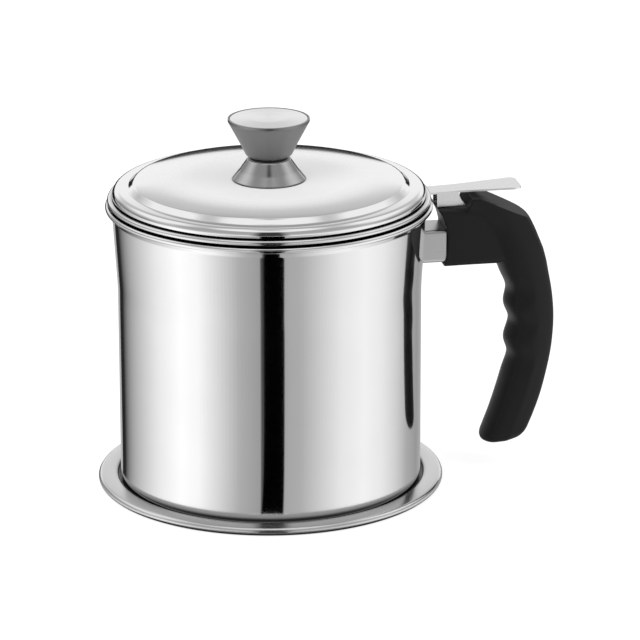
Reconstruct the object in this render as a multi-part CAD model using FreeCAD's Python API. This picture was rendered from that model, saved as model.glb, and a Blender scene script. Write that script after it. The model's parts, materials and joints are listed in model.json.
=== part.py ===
"""Grease strainer pot: drip tray, pot with moulded side handle, lift-out strainer and knobbed lid.

Millimetres. +Z is up, +X points along the handle, and the origin is the centre of the tray's
underside, on the axis of the pot. Every sub-part is written to parts/NODE.step.
"""
import FreeCAD, Part
import math
import os

# ---- Drip tray -------------------------------------------------------------------------------
TRAY_SHEET = 0.6              # thickness of the tray's steel sheet
TRAY_FOOT_RADIUS = 46.0       # flat centre that stands on the table
TRAY_SEAT_RISE = 1.0          # the pot's seat lies this much above the foot
TRAY_WALL_CLEARANCE = 1.6     # from the pot's wall to the step of the tray
TRAY_STEP_HEIGHT = 1.9        # from the seat up to the flange
TRAY_FLANGE_WIDTH = 8.1       # from the step to the outside of the curled edge
TRAY_CURL_LIFT = 0.1          # the curled edge clears the table by this much
TRAY_BEND = 0.8               # bend radius of the tray's steps

# ---- Pot -------------------------------------------------------------------------------------
POT_RADIUS = 65.0             # outside of the straight wall
POT_SHEET = 0.6
POT_CORNER = 4.0              # outside radius between base and wall
POT_BASE_RISE = 0.8           # the middle of the base is pressed up by this much
POT_BASE_FOOT = 18.0          # width of the flat ring that the pot stands on
POT_STRAIGHT = 86.0           # height of the straight part of the wall
POT_FLARED = 32.0             # height of the part of the wall that widens to the mouth
POT_FLARE = 1.95              # how much that part widens
POT_THROAT = 2.3              # height of the short cove under the bead
POT_THROAT_OUT = 1.1          # how far that cove leans out
BEAD_SIZE = 2.4               # outside size of the curled rim, across and up
BEAD_HEIGHT = 2.9             # from the top of the cove to the top of the curl
POT_BASE_BEND = 2.0           # bends of the pressed base
POT_FLARE_BEND = 130.0        # soft bend where the wall starts to widen
POT_NECK_BEND = 2.0           # bend between wall and cove
POT_COVE_BEND = 1.5           # bend between cove and curl

# ---- Strainer --------------------------------------------------------------------------------
BOWL_SHEET = 0.5
BOWL_GAP = 1.45               # between the bowl's straight neck and the pot's mouth
BOWL_DEPTH = 28.8             # from the rim's top to the underside of the bottom
BOWL_NECK = 6.8               # height of the straight neck under the rim
BOWL_TAPER = 5.4              # how much the wall narrows below the neck
BOWL_CORNER = 3.0
RIM_CURL = 2.3                # outside size of the bowl's curled rim
RIM_REACH = 2.95              # from the neck's outside to the outside of the curl
RIM_BEND = 0.4                # bend from the neck into the rim
BOWL_LEDGE = 10.6             # from the foot of the bowl's wall in to the opening under the mesh
MESH_LAP = 3.0                # how far the mesh lies on the bowl's bottom
MESH_SHEET = 0.5
MESH_PITCH = 5.6              # spacing of the square windows
MESH_WINDOW = 3.8             # side of each square window
CLAMP_HEIGHT = 1.2            # height of the ring that holds the mesh down
CLAMP_WIDTH = 4.0

# ---- Strainer tab ----------------------------------------------------------------------------
TAB_SHEET = 0.8
TAB_WIDTH = 10.4              # width over the side flanges
TAB_TIP_WIDTH = 16.4
TAB_LENGTH = 39.6             # from the strainer's rim to the tip
TAB_FLANGE_HEIGHT = 5.8       # from the tab's top to the lower edge of its flanges
TAB_FLANGE_START = 3.0        # the flanges start this far from the rim
TAB_FLANGE_END = 13.0         # at the top; the lower corner reaches further
TAB_END_SCOOP = 8.5           # radius of the hollow end of the flanges
TAB_RISE = 2.1                # slope of the tab, degrees
TAB_TIP_CORNER = 3.0
TAB_WAIST_BEND = 6.0          # bend of the tab's edges where it starts to widen
TAB_CLEARANCE = 0.3           # between the tab and what lies under it

# ---- Handle ----------------------------------------------------------------------------------
HANDLE_DROP = 22.2            # from the top of the pot's bead down to the handle's screw
FERRULE_LENGTH = 10.3         # from the pot's wall to the handle
FERRULE_WIDTH = 18.0
FERRULE_HEIGHT = 14.4
FERRULE_SHEET = 0.8
FERRULE_CORNER = 1.6
NECK_TOP_TO_HUMP = 4.9        # step from the neck's top to the hump's top
NECK_BOTTOM = 9.1             # from the screw down to the underside of the neck
NECK_OVERHANG = 3.6           # the upper front of the neck reaches over the ferrule
NECK_LIP = 0.9                # the lower front of the neck reaches this far under it
NECK_HOLLOW = 0.4             # the middle of the hollow front lies this far beyond the ferrule
HUMP_FRONT = 9.2              # from the handle's end face to the hump
HUMP_SLOPE = 1.8              # the hump's front leans back by this much
GRIP_TOP = 22.0               # from the screw up to the hump's top
GRIP_LENGTH = 90.7            # from the screw down to the lower end of the grip
GRIP_HALF_WIDTH = 12.5        # at the widest place, beside the facet
GRIP_WIDEST = (29.0, 2.5)     # where that is, from the end face and the screw
GRIP_CROWN_ACROSS = 161.0     # radius of the sides, seen from above
GRIP_CROWN_ALONG = 1440.0     # radius of the sides, seen from the end
GRIP_EDGE = 4.0               # rounding of the grip's long edges
GRIP_END_INNER = 5.0          # rounding of the lower end, finger side
GRIP_END_OUTER = 8.0          # rounding of the lower end, palm side
NECK_BLEND = 3.0              # rounding between the neck's underside and the grip
FACET_CREST = (35.5, 11.5)    # where the thumb facet meets the back of the grip
FACET_SLOPE = 25.0            # slope of the thumb facet, degrees

# Finger side of the grip, from the neck to the lower end: hollows and ridges in turn.
FINGER_SIDE = [(21.0, -9.1), (25.3, -13.9), (27.8, -19.6), (26.8, -27.3), (29.1, -34.8),
               (27.1, -43.7), (28.4, -50.7), (25.8, -59.5), (22.9, -69.5), (19.5, -80.0), (15.6, -90.7)]
# Palm side of the grip, from the lower end to the hump.
PALM_SIDE = [(36.8, -90.7), (43.6, -72.5), (48.4, -50.6), (49.4, -34.5), (47.2, -16.5),
             (41.0, 2.8), (34.5, 13.2), (26.0, 19.6), (14.0, 22.0)]

# ---- Handle fastening ------------------------------------------------------------------------
PAD_THICKNESS = 1.5           # steel pad welded to the wall
PAD_WIDTH = 14.0
PAD_HEIGHT = 11.0
BOSS_RADIUS = 4.5
BOSS_LENGTH = 4.2
SCREW_RADIUS = 2.5
SCREW_HEAD_RADIUS = 4.4
SCREW_HEAD_HEIGHT = 3.2
SCREW_GRIP = 3.6              # how far the screw reaches into the boss
SCREW_SLOT = 1.0              # width of the cross slots in the screw's head
COUNTERBORE_RADIUS = 5.2
COUNTERBORE_FLOOR = 30.0      # from the handle's end face to the floor of the counterbore
WASHER_THICKNESS = 1.0
TONGUE_LENGTH = 3.6           # the handle's tongue inside the ferrule

# ---- Lid -------------------------------------------------------------------------------------
LID_SHEET = 0.6
LID_EDGE_INSET = 2.15         # the lid's side wall lies this far inside the strainer's rim
LID_WALL_HEIGHT = 4.2         # from the lid's lower edge to the shoulder
LID_SHOULDER_ROUND = 3.0
LID_STEP_INSET = 8.0          # from the side wall to the step
LID_STEP_RISE = 2.3           # height of that step
LID_STEP_LEAN = 1.2           # the step leans in by this much
LID_CROWN_RISE = 0.55         # the panel's middle above its edge
LID_PANEL_FLAT = 36.0         # radius of the level middle of the panel
LID_PANEL_CURVE = 250.0       # from the level middle into the sloping border
LID_PANEL_ROUND = 1.0         # from the border into the step
LID_STEP_BEND = 1.4           # from the step into the brim
LID_EDGE_BEND = 0.7           # at the lower edge of the side wall
LID_LEDGE = 1.7               # width of the ledge that rests on the strainer's rim
LID_SKIRT = 2.3               # depth of the locating skirt, as deep as the strainer's rim is high

# ---- Knob ------------------------------------------------------------------------------------
KNOB_SHEET = 0.8
KNOB_FOOT_RADIUS = 15.6
KNOB_FOOT_EDGE = 0.7
KNOB_WAIST_RADIUS = 9.2
KNOB_BASE_HEIGHT = 9.1
KNOB_BASE_MIDDLE = (12.6, 4.3)    # radius and height of the base's middle
KNOB_BASE_CURVE = 14.0        # hollow curve of the base
KNOB_WAIST_BEND = 0.9
KNOB_SPACER_RADIUS = 8.2
KNOB_SPACER_HEIGHT = 1.3
KNOB_CUP_BOTTOM = 9.6
KNOB_CUP_BEND = 2.0
KNOB_CUP_MIDDLE = (12.0, 5.0)     # radius and height of the cup's middle
KNOB_CUP_CURVE = 20.0         # full curve of the cup's side
KNOB_CUP_HEIGHT = 15.2        # up to the foot of the lip
KNOB_RIM_RADIUS = 17.4
KNOB_LIP = 1.1                # height of the upright lip round the cap
KNOB_LIP_BEND = 0.3
KNOB_CAP_SEAT = 0.25          # the cap's underside above the foot of the lip
KNOB_CAP_EDGE = 0.8
KNOB_CAP_CROWN = 0.5
KNOB_CAP_ROUND = 0.3
KNOB_CAP_CURVE = 50.0
INSERT_RADIUS = 4.5
INSERT_HEIGHT = 9.0
KNOB_SCREW_RADIUS = 2.0
KNOB_SCREW_HEAD_RADIUS = 4.0
KNOB_SCREW_HEAD_HEIGHT = 2.4
KNOB_SCREW_REACH = 6.5        # how far the screw reaches into the insert

# ---- Fits ------------------------------------------------------------------------------------
THREAD_CLEARANCE = 0.05       # all round a screw in its thread
HOLE_CLEARANCE = 0.3          # all round a screw in a plain hole
WELD_GAP = 0.05               # between welded curved faces
SEAT_GAP = 0.05               # between stacked pieces that lift apart
BEND_RELIEF = 0.01            # flat left between two bends that follow each other

# ---- Places that follow from the sizes above -------------------------------------------------
TRAY_SEAT_Z = TRAY_SEAT_RISE + TRAY_SHEET
POT_BASE_Z = TRAY_SEAT_Z
POT_FLARE_Z = POT_BASE_Z + POT_STRAIGHT
POT_THROAT_Z = POT_FLARE_Z + POT_FLARED
POT_BEAD_Z = POT_THROAT_Z + POT_THROAT
BEAD_TOP_Z = POT_BEAD_Z + BEAD_HEIGHT
MOUTH_RADIUS = POT_RADIUS + POT_FLARE + POT_THROAT_OUT
BEAD_RADIUS = MOUTH_RADIUS - POT_SHEET + BEAD_SIZE
BOWL_RADIUS = MOUTH_RADIUS - POT_SHEET - BOWL_GAP
BOWL_RIM_RADIUS = BOWL_RADIUS + RIM_REACH
RIM_TOP_Z = BEAD_TOP_Z + SEAT_GAP + RIM_CURL
BOWL_BOTTOM_Z = RIM_TOP_Z - BOWL_DEPTH
BOWL_FOOT_RADIUS = BOWL_RADIUS - BOWL_TAPER
MESH_OPENING = BOWL_FOOT_RADIUS - BOWL_LEDGE
MESH_Z = BOWL_BOTTOM_Z + BOWL_SHEET
LID_EDGE_Z = RIM_TOP_Z + SEAT_GAP
LID_RADIUS = BOWL_RIM_RADIUS - LID_EDGE_INSET
LID_SHOULDER_Z = LID_EDGE_Z + LID_WALL_HEIGHT
LID_PANEL_Z = LID_SHOULDER_Z + LID_STEP_RISE
LID_TOP_Z = LID_PANEL_Z + LID_CROWN_RISE
KNOB_SPACER_Z = LID_TOP_Z + KNOB_BASE_HEIGHT
KNOB_CUP_Z = KNOB_SPACER_Z + KNOB_SPACER_HEIGHT
KNOB_LIP_Z = KNOB_CUP_Z + KNOB_CUP_HEIGHT
HANDLE_Z = BEAD_TOP_Z - HANDLE_DROP
HANDLE_X = POT_RADIUS + FERRULE_LENGTH
NECK_TOP = GRIP_TOP - NECK_TOP_TO_HUMP
TAB_ROOT_X = BOWL_RIM_RADIUS + WELD_GAP
TAB_ROOT_Z = HANDLE_Z + NECK_TOP + TAB_CLEARANCE + TAB_FLANGE_HEIGHT
PAD_FACE_X = POT_RADIUS + POT_FLARE + PAD_THICKNESS


def vector(x, y, z):
    return FreeCAD.Vector(x, y, z)


UP = vector(0, 0, 1)
OUTWARD = vector(1, 0, 0)
ACROSS = vector(0, 1, 0)


def unit(start, end):
    """Unit direction, in a section plane, from one point to the next."""
    dx = end[0] - start[0]
    dz = end[1] - start[1]
    length = math.hypot(dx, dz)
    return dx / length, dz / length


def section_point(corner):
    return vector(corner[0], 0, corner[1])


def corner_arc(before, corner, after):
    """The tangent arc at a corner (x, z, radius): its start, middle and end."""
    back = unit(corner, before)
    ahead = unit(corner, after)
    half_turn = math.acos(back[0] * ahead[0] + back[1] * ahead[1]) / 2
    radius = corner[2]
    run = radius / math.tan(half_turn)
    inward = unit((0, 0), (back[0] + ahead[0], back[1] + ahead[1]))
    depth = radius / math.sin(half_turn) - radius
    start = (corner[0] + back[0] * run, corner[1] + back[1] * run)
    middle = (corner[0] + inward[0] * depth, corner[1] + inward[1] * depth)
    end = (corner[0] + ahead[0] * run, corner[1] + ahead[1] * run)
    return start, middle, end


def rounded_face(corners):
    """A face in the XZ plane from corners (x, z, radius) in order round its outline."""
    edges = []
    joints = []
    for index, corner in enumerate(corners):
        if corner[2] > 0:
            start, middle, end = corner_arc(corners[index - 1], corner, corners[(index + 1) % len(corners)])
            edges.append(Part.Arc(section_point(start), section_point(middle), section_point(end)).toShape())
            joints.append((start, end))
        else:
            joints.append((corner, corner))
    for index, joint in enumerate(joints):
        here = section_point(joints[index - 1][1])
        there = section_point(joint[0])
        if here.distanceToPoint(there) > 1e-6:
            edges.append(Part.LineSegment(here, there).toShape())
    return Part.Face(Part.Wire(Part.__sortEdges__(edges)))


def offset_path(path, thickness):
    """The path's other face: thickness to the left of its direction, or to the right if negative."""
    shifted = []
    last = len(path) - 1
    for index, corner in enumerate(path):
        into = unit(path[max(index - 1, 0)], path[max(index, 1)])
        out = unit(path[min(index, last - 1)], path[min(index + 1, last)])
        normal = (-into[1] - out[1], into[0] + out[0])
        scale = thickness * 2 / (normal[0] ** 2 + normal[1] ** 2)
        turn = math.copysign(1, into[0] * out[1] - into[1] * out[0])
        radius = corner[2] - turn * thickness if corner[2] > 0 else 0
        shifted.append((corner[0] + normal[0] * scale, corner[1] + normal[1] * scale, max(radius, 0)))
    return shifted


def revolved(corners):
    """The solid swept by a closed outline of corners (radius, height, rounding) about the Z axis."""
    return rounded_face(corners).revolve(vector(0, 0, 0), UP, 360)


def revolved_sheet(path, thickness):
    """A turned sheet: one of its faces follows the path, the other lies thickness beside it."""
    return revolved(path + offset_path(path, thickness)[::-1])


def disc(radius, bottom, height, hole=0.0):
    """A round disc about the Z axis, with a hole where one is given."""
    body = Part.makeCylinder(radius, height, vector(0, 0, bottom))
    if hole > 0:
        body = body.cut(Part.makeCylinder(hole, height, vector(0, 0, bottom)))
    return body


def rod(radius, start, length):
    """A round rod along the handle's screw, from a distance off the pot's axis."""
    return Part.makeCylinder(radius, length, vector(start, 0, HANDLE_Z), OUTWARD)


def round_bar(start, length, width, height, corner):
    """A bar along the handle's screw with a rounded rectangular section."""
    bar = Part.makeBox(length, width, height, vector(start, -width / 2, HANDLE_Z - height / 2))
    long_edges = [edge for edge in bar.Edges if abs(edge.tangentAt(0).x) > 0.99]
    return bar.makeFillet(corner, long_edges)


# ---- Drip tray -------------------------------------------------------------------------------
def drip_tray():
    step_radius = POT_RADIUS + TRAY_WALL_CLEARANCE
    seat_under = TRAY_SEAT_RISE
    flange_under = seat_under + TRAY_STEP_HEIGHT
    curl_inside = step_radius + TRAY_FLANGE_WIDTH - TRAY_SHEET
    curl_under = TRAY_CURL_LIFT + TRAY_SHEET
    curl_bend = (flange_under - curl_under) / 2 - BEND_RELIEF
    path = [(0, 0, 0), (TRAY_FOOT_RADIUS, 0, TRAY_BEND),
            (TRAY_FOOT_RADIUS + 2 * TRAY_SEAT_RISE, seat_under, TRAY_BEND),
            (step_radius - TRAY_BEND, seat_under, TRAY_BEND), (step_radius, flange_under, TRAY_BEND),
            (curl_inside, flange_under, curl_bend), (curl_inside, curl_under, curl_bend),
            (curl_inside - 2 * curl_bend, curl_under, 0)]
    return revolved_sheet(path, TRAY_SHEET)


# ---- Pot -------------------------------------------------------------------------------------
def pot_wall_path(gap):
    """Outside of the pot from its axis to the cove under the bead, moved out by a gap."""
    foot = POT_RADIUS - POT_BASE_FOOT
    raised = POT_BASE_Z + POT_BASE_RISE
    return [(0, raised, 0), (foot - 2 * POT_BASE_RISE, raised, POT_BASE_BEND),
            (foot, POT_BASE_Z, POT_BASE_BEND), (POT_RADIUS + gap, POT_BASE_Z, POT_CORNER),
            (POT_RADIUS + gap, POT_FLARE_Z, POT_FLARE_BEND),
            (POT_RADIUS + POT_FLARE + gap, POT_THROAT_Z, POT_NECK_BEND),
            (MOUTH_RADIUS + gap, POT_BEAD_Z, POT_COVE_BEND)]


def pot_shell():
    curl_turn = BEAD_SIZE / 2 - POT_SHEET
    curl_bend = curl_turn - BEND_RELIEF
    curl_outside = BEAD_RADIUS - POT_SHEET
    curl_top = BEAD_TOP_Z - POT_SHEET
    curl_end = curl_top - 2 * curl_turn
    curl = [(MOUTH_RADIUS, curl_top, curl_bend), (curl_outside, curl_top, curl_bend),
            (curl_outside, curl_end, curl_bend), (curl_outside - curl_turn, curl_end, 0)]
    return revolved_sheet(pot_wall_path(0) + curl, POT_SHEET)


def pot_envelope():
    """Everything inside the pot's outer wall, to trim what is welded to that wall."""
    outside = pot_wall_path(WELD_GAP)
    return revolved(outside + [(0, POT_BEAD_Z, 0)])


def handle_pad():
    pad = round_bar(POT_RADIUS / 2, PAD_FACE_X - POT_RADIUS / 2, PAD_WIDTH, PAD_HEIGHT, FERRULE_CORNER)
    return pad.cut(pot_envelope())


def handle_boss():
    boss = rod(BOSS_RADIUS, PAD_FACE_X, BOSS_LENGTH)
    return boss.cut(rod(SCREW_RADIUS + THREAD_CLEARANCE, PAD_FACE_X, BOSS_LENGTH))


def handle_ferrule():
    start = POT_RADIUS / 2
    length = HANDLE_X - start
    outside = round_bar(start, length, FERRULE_WIDTH, FERRULE_HEIGHT, FERRULE_CORNER)
    inside = round_bar(start, length, FERRULE_WIDTH - 2 * FERRULE_SHEET, FERRULE_HEIGHT - 2 * FERRULE_SHEET,
                       FERRULE_CORNER - FERRULE_SHEET)
    return outside.cut(inside).cut(pot_envelope())


# ---- Handle grip -----------------------------------------------------------------------------
def handle_point(place):
    """A point of the handle's middle plane, from the end face and the screw."""
    return vector(HANDLE_X + place[0], 0, HANDLE_Z + place[1])


def handle_line(start, end):
    return Part.LineSegment(handle_point(start), handle_point(end)).toShape()


def handle_curve(places):
    curve = Part.BSplineCurve()
    curve.interpolate([handle_point(place) for place in places])
    return curve.toShape()


def grip_side_view():
    """Outline of the handle seen from the side, before the facet and the hump are cut."""
    front_bottom = (-NECK_LIP, -NECK_BOTTOM)
    front_middle = (NECK_HOLLOW, (NECK_TOP - NECK_BOTTOM) / 2)
    over_ferrule = (-NECK_OVERHANG, NECK_TOP)
    top_front = (-NECK_OVERHANG, GRIP_TOP)
    fingers = handle_curve(FINGER_SIDE)
    palm = handle_curve(PALM_SIDE)
    front = Part.Arc(handle_point(over_ferrule), handle_point(front_middle), handle_point(front_bottom))
    edges = [handle_line(front_bottom, FINGER_SIDE[0]), fingers,
             handle_line(FINGER_SIDE[-1], PALM_SIDE[0]), palm,
             handle_line(PALM_SIDE[-1], top_front), handle_line(top_front, over_ferrule), front.toShape()]
    return Part.Face(Part.Wire(Part.__sortEdges__(edges)))


def grip_side_limit(side):
    """A slice of a very large ring whose outer face is the gently crowned side of the grip."""
    centre_x = HANDLE_X + GRIP_WIDEST[0]
    centre_z = HANDLE_Z + GRIP_WIDEST[1]
    drop = GRIP_CROWN_ACROSS - math.sqrt(GRIP_CROWN_ACROSS ** 2 - GRIP_LENGTH ** 2)
    end_y = -side * (GRIP_HALF_WIDTH - drop)
    far_y = side * 4 * GRIP_HALF_WIDTH + end_y
    left = vector(centre_x - GRIP_LENGTH, end_y, centre_z)
    middle = vector(centre_x, -side * GRIP_HALF_WIDTH, centre_z)
    right = vector(centre_x + GRIP_LENGTH, end_y, centre_z)
    far_right = vector(centre_x + GRIP_LENGTH, far_y, centre_z)
    far_left = vector(centre_x - GRIP_LENGTH, far_y, centre_z)
    edges = [Part.Arc(left, middle, right).toShape(), Part.LineSegment(right, far_right).toShape(),
             Part.LineSegment(far_right, far_left).toShape(), Part.LineSegment(far_left, left).toShape()]
    face = Part.Face(Part.Wire(edges))
    pivot = vector(centre_x, side * (GRIP_CROWN_ALONG - GRIP_HALF_WIDTH), centre_z)
    half_turn = math.degrees(2 * GRIP_LENGTH / GRIP_CROWN_ALONG)
    face.rotate(pivot, OUTWARD, -half_turn)
    return face.revolve(pivot, OUTWARD, 2 * half_turn)


def edge_nearest(shape, place, direction):
    """The edge along a direction that passes nearest to a place of the handle's middle plane."""
    target = Part.Vertex(handle_point(place))
    along = [edge for edge in shape.Edges if abs(edge.tangentAt(edge.FirstParameter).dot(direction)) > 0.99]
    return min(along, key=lambda edge: edge.distToShape(target)[0])


def grip_blank():
    """The handle's body with its rounded edges, before the cuts."""
    depth = 2 * (GRIP_HALF_WIDTH + GRIP_EDGE)
    prism = grip_side_view().extrude(vector(0, depth, 0))
    prism.translate(vector(0, -depth / 2, 0))
    prism = prism.makeFillet(GRIP_END_INNER, [edge_nearest(prism, FINGER_SIDE[-1], ACROSS)])
    prism = prism.makeFillet(GRIP_END_OUTER, [edge_nearest(prism, PALM_SIDE[0], ACROSS)])
    prism = prism.makeFillet(NECK_BLEND, [edge_nearest(prism, FINGER_SIDE[0], ACROSS)])
    body = prism.common(grip_side_limit(1)).common(grip_side_limit(-1))
    long_edges = []
    for edge in body.Edges:
        middle = edge.valueAt((edge.FirstParameter + edge.LastParameter) / 2)
        ends = [vertex.X for vertex in edge.Vertexes]
        if abs(middle.y) > GRIP_EDGE and max(ends) > HANDLE_X + GRIP_EDGE:
            long_edges.append(edge)
    return body.makeFillet(GRIP_EDGE, long_edges)


def facet_cutter():
    """The space above the thumb facet, which slopes up from its crest towards the pot."""
    size = GRIP_LENGTH
    block = Part.makeBox(size, size, size, vector(-size / 2, -size / 2, 0))
    block.rotate(vector(0, 0, 0), ACROSS, FACET_SLOPE)
    block.translate(handle_point(FACET_CREST))
    return block


def neck_cutter():
    """The space above the neck, where the strainer's tab lies in front of the hump."""
    reach = -2 * NECK_OVERHANG
    face = Part.Face(Part.makePolygon([handle_point(place) for place in (
        (reach, NECK_TOP), (HUMP_FRONT, NECK_TOP), (HUMP_FRONT + HUMP_SLOPE, GRIP_TOP),
        (HUMP_FRONT + HUMP_SLOPE, 2 * GRIP_TOP), (reach, 2 * GRIP_TOP), (reach, NECK_TOP))]))
    depth = 4 * GRIP_HALF_WIDTH
    cutter = face.extrude(vector(0, depth, 0))
    cutter.translate(vector(0, -depth / 2, 0))
    return cutter


def handle_grip():
    body = grip_blank().cut(facet_cutter()).cut(neck_cutter())
    ferrule_room = round_bar(POT_RADIUS, FERRULE_LENGTH, FERRULE_WIDTH + 2 * WELD_GAP,
                             FERRULE_HEIGHT + 2 * WELD_GAP, FERRULE_CORNER + WELD_GAP)
    body = body.cut(ferrule_room)
    inner_width = FERRULE_WIDTH - 2 * FERRULE_SHEET - 2 * HOLE_CLEARANCE
    inner_height = FERRULE_HEIGHT - 2 * FERRULE_SHEET - 2 * HOLE_CLEARANCE
    tongue = round_bar(HANDLE_X - TONGUE_LENGTH, 2 * TONGUE_LENGTH, inner_width, inner_height,
                       FERRULE_CORNER / 2)
    body = body.fuse(tongue).removeSplitter()
    boss_room = rod(BOSS_RADIUS + HOLE_CLEARANCE, PAD_FACE_X, BOSS_LENGTH + HOLE_CLEARANCE)
    screw_hole = rod(SCREW_RADIUS + HOLE_CLEARANCE, HANDLE_X - TONGUE_LENGTH, GRIP_LENGTH)
    counterbore = rod(COUNTERBORE_RADIUS, HANDLE_X + COUNTERBORE_FLOOR, GRIP_LENGTH)
    return body.cut(boss_room).cut(screw_hole).cut(counterbore)


def handle_washer():
    washer = rod(SCREW_HEAD_RADIUS, HANDLE_X + COUNTERBORE_FLOOR, WASHER_THICKNESS)
    return washer.cut(rod(SCREW_RADIUS + HOLE_CLEARANCE, HANDLE_X + COUNTERBORE_FLOOR, WASHER_THICKNESS))


def handle_screw():
    head_x = HANDLE_X + COUNTERBORE_FLOOR + WASHER_THICKNESS
    tip_x = PAD_FACE_X + BOSS_LENGTH - SCREW_GRIP
    shank = rod(SCREW_RADIUS, tip_x, head_x - tip_x)
    head = rod(SCREW_HEAD_RADIUS, head_x, SCREW_HEAD_HEIGHT)
    rim = max(head.Edges, key=lambda edge: edge.BoundBox.XMin)
    head = head.makeFillet(SCREW_HEAD_HEIGHT / 2, [rim])
    screw = shank.fuse(head).removeSplitter()
    slot_depth = SCREW_HEAD_HEIGHT / 2
    slot_x = head_x + SCREW_HEAD_HEIGHT - slot_depth
    for turn in (0, 90):
        slot = Part.makeBox(slot_depth, SCREW_HEAD_RADIUS, SCREW_SLOT,
                            vector(slot_x, -SCREW_HEAD_RADIUS / 2, HANDLE_Z - SCREW_SLOT / 2))
        slot.rotate(vector(0, 0, HANDLE_Z), OUTWARD, turn)
        screw = screw.cut(slot)
    return screw


# ---- Strainer --------------------------------------------------------------------------------
def strainer_bowl():
    curl_turn = RIM_CURL / 2 - BOWL_SHEET
    curl_bend = curl_turn - BEND_RELIEF
    curl_top = RIM_TOP_Z - BOWL_SHEET
    curl_outside = BOWL_RIM_RADIUS - BOWL_SHEET
    curl_end = curl_top - 2 * curl_turn
    path = [(MESH_OPENING, BOWL_BOTTOM_Z, 0), (BOWL_FOOT_RADIUS, BOWL_BOTTOM_Z, BOWL_CORNER),
            (BOWL_RADIUS, RIM_TOP_Z - BOWL_NECK, BOWL_CORNER), (BOWL_RADIUS, curl_top, RIM_BEND),
            (curl_outside, curl_top, curl_bend), (curl_outside, curl_end, curl_bend),
            (curl_outside - curl_turn, curl_end, 0)]
    return revolved_sheet(path, BOWL_SHEET)


def mesh_windows():
    """Square windows on a grid, as far as whole windows fit into the opening."""
    count = int(MESH_OPENING / MESH_PITCH)
    half = MESH_WINDOW / 2
    windows = []
    for row in range(-count, count + 1):
        for column in range(-count, count + 1):
            x = row * MESH_PITCH
            y = column * MESH_PITCH
            if math.hypot(abs(x) + half, abs(y) + half) < MESH_OPENING:
                corner = vector(x - half, y - half, MESH_Z)
                windows.append(Part.makeBox(MESH_WINDOW, MESH_WINDOW, MESH_SHEET, corner))
    return Part.makeCompound(windows)


def strainer_mesh():
    return disc(MESH_OPENING + MESH_LAP, MESH_Z, MESH_SHEET).cut(mesh_windows())


def mesh_clamp_ring():
    bottom = MESH_Z + MESH_SHEET
    inner = MESH_OPENING + MESH_LAP - CLAMP_WIDTH
    outer = inner + CLAMP_WIDTH
    top = bottom + CLAMP_HEIGHT
    round_edge = CLAMP_HEIGHT / 2
    return revolved([(inner, bottom, 0), (outer, bottom, 0),
                     (outer, top, round_edge), (inner, top, round_edge)])


def tab_plate():
    """The tab's top, level and with its root at the origin of the tab."""
    half = TAB_WIDTH / 2
    tip = TAB_TIP_WIDTH / 2
    root = -TAB_WIDTH
    outline = [(root, -half, 0), (TAB_FLANGE_END, -half, TAB_WAIST_BEND), (TAB_LENGTH, -tip, TAB_TIP_CORNER),
               (TAB_LENGTH, tip, TAB_TIP_CORNER), (TAB_FLANGE_END, half, TAB_WAIST_BEND), (root, half, 0)]
    face = rounded_face(outline)
    face.rotate(vector(0, 0, 0), OUTWARD, -90)
    return face.extrude(vector(0, 0, -TAB_SHEET))


def tab_flange(side):
    """One turned-down side of the tab, with its hollow outer end."""
    reach = TAB_FLANGE_END + TAB_END_SCOOP
    start_y = TAB_WIDTH / 2 - TAB_SHEET if side > 0 else -TAB_WIDTH / 2
    start = vector(TAB_FLANGE_START, start_y, -TAB_FLANGE_HEIGHT)
    flange = Part.makeBox(reach - TAB_FLANGE_START, TAB_SHEET, TAB_FLANGE_HEIGHT, start)
    scoop = Part.makeCylinder(TAB_END_SCOOP, 2 * TAB_WIDTH,
                              vector(TAB_FLANGE_END + TAB_END_SCOOP, -TAB_WIDTH, 0), ACROSS)
    return flange.cut(scoop)


def strainer_tab():
    tab = tab_plate().fuse(tab_flange(1)).fuse(tab_flange(-1)).removeSplitter()
    tab.rotate(vector(0, 0, 0), ACROSS, -TAB_RISE)
    tab.translate(vector(TAB_ROOT_X, 0, TAB_ROOT_Z))
    rim = Part.makeCylinder(TAB_ROOT_X, 4 * TAB_FLANGE_HEIGHT,
                            vector(0, 0, TAB_ROOT_Z - 2 * TAB_FLANGE_HEIGHT))
    return tab.cut(rim)


# ---- Lid and knob ----------------------------------------------------------------------------
def lid_shell():
    step_foot = LID_RADIUS - LID_STEP_INSET
    step_top = step_foot - LID_STEP_LEAN
    skirt_radius = LID_RADIUS - LID_LEDGE
    path = [(KNOB_SCREW_RADIUS + HOLE_CLEARANCE, LID_TOP_Z, 0), (LID_PANEL_FLAT, LID_TOP_Z, LID_PANEL_CURVE),
            (step_top, LID_PANEL_Z, LID_PANEL_ROUND), (step_foot, LID_SHOULDER_Z, LID_STEP_BEND),
            (LID_RADIUS, LID_SHOULDER_Z, LID_SHOULDER_ROUND), (LID_RADIUS, LID_EDGE_Z, LID_EDGE_BEND),
            (skirt_radius, LID_EDGE_Z, 0), (skirt_radius, LID_EDGE_Z - LID_SKIRT, 0)]
    return revolved_sheet(path, -LID_SHEET)


def knob_base():
    top = LID_TOP_Z + KNOB_BASE_HEIGHT
    path = [(KNOB_FOOT_RADIUS, LID_TOP_Z, 0), (KNOB_FOOT_RADIUS, LID_TOP_Z + KNOB_FOOT_EDGE, 0),
            (KNOB_BASE_MIDDLE[0], LID_TOP_Z + KNOB_BASE_MIDDLE[1], KNOB_BASE_CURVE),
            (KNOB_WAIST_RADIUS, top, KNOB_WAIST_BEND), (KNOB_SCREW_RADIUS + HOLE_CLEARANCE, top, 0)]
    return revolved_sheet(path, KNOB_SHEET)


def knob_spacer():
    return disc(KNOB_SPACER_RADIUS, KNOB_SPACER_Z, KNOB_SPACER_HEIGHT, KNOB_SCREW_RADIUS + HOLE_CLEARANCE)


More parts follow.
